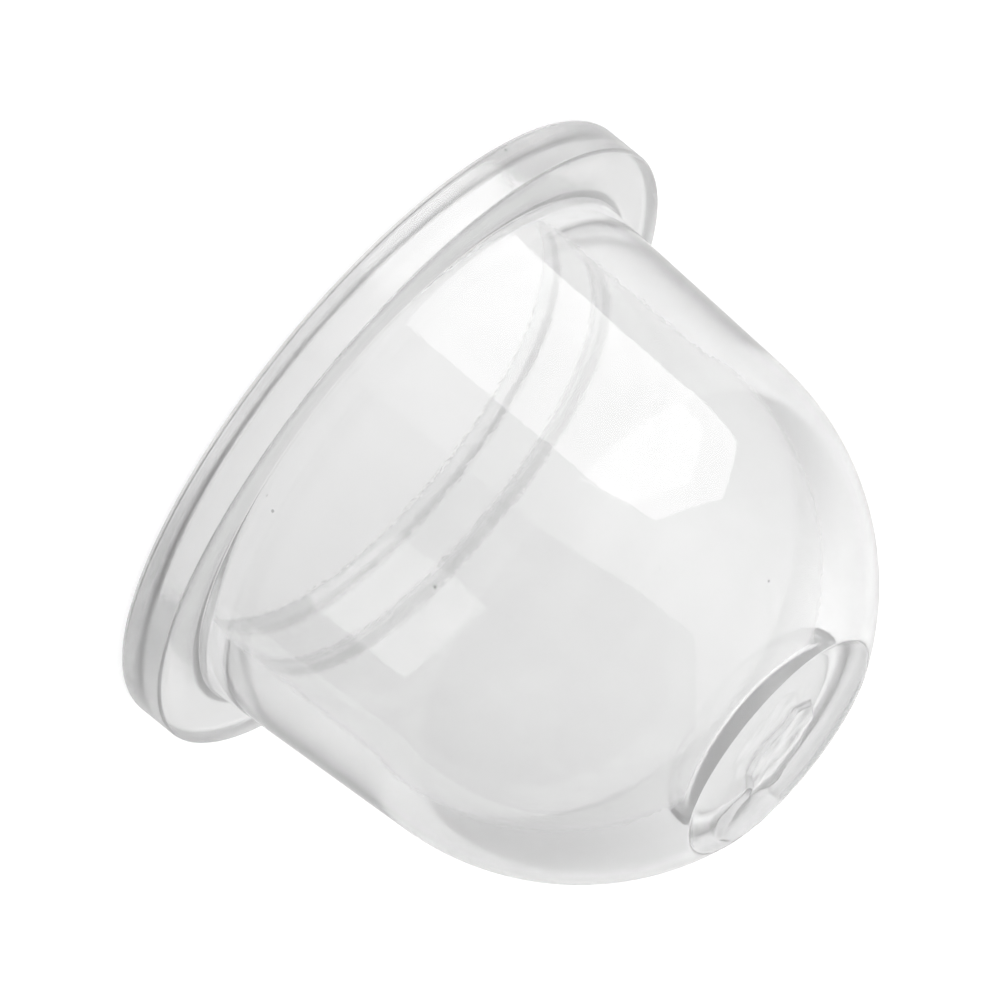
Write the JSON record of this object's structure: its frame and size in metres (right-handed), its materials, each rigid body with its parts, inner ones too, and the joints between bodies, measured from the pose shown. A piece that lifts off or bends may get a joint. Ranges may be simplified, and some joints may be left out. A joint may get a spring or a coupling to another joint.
{
  "type": "primer bulb",
  "caption": "Clear moulded primer bulb: a round clamping flange, a tapered wall and a domed squeeze body, open at the flange, with a recessed gate mark in the crown.",
  "frame": {"origin": "centre of the flange's seal face, at the open mouth", "axes": "+Z along the bulb's axis from the seal face to the crown; X and Y lie in the seal face, and +X points to the side that the gate mark leans to"},
  "size_m": [0.022, 0.022, 0.0164],
  "materials": {
    "clear_plastic": "clear, slightly hazy moulded polyurethane with a gloss surface"
  },
  "bodies": {
    "root": {"primer_bulb": "clear_plastic"}
  },
  "joints": []
}
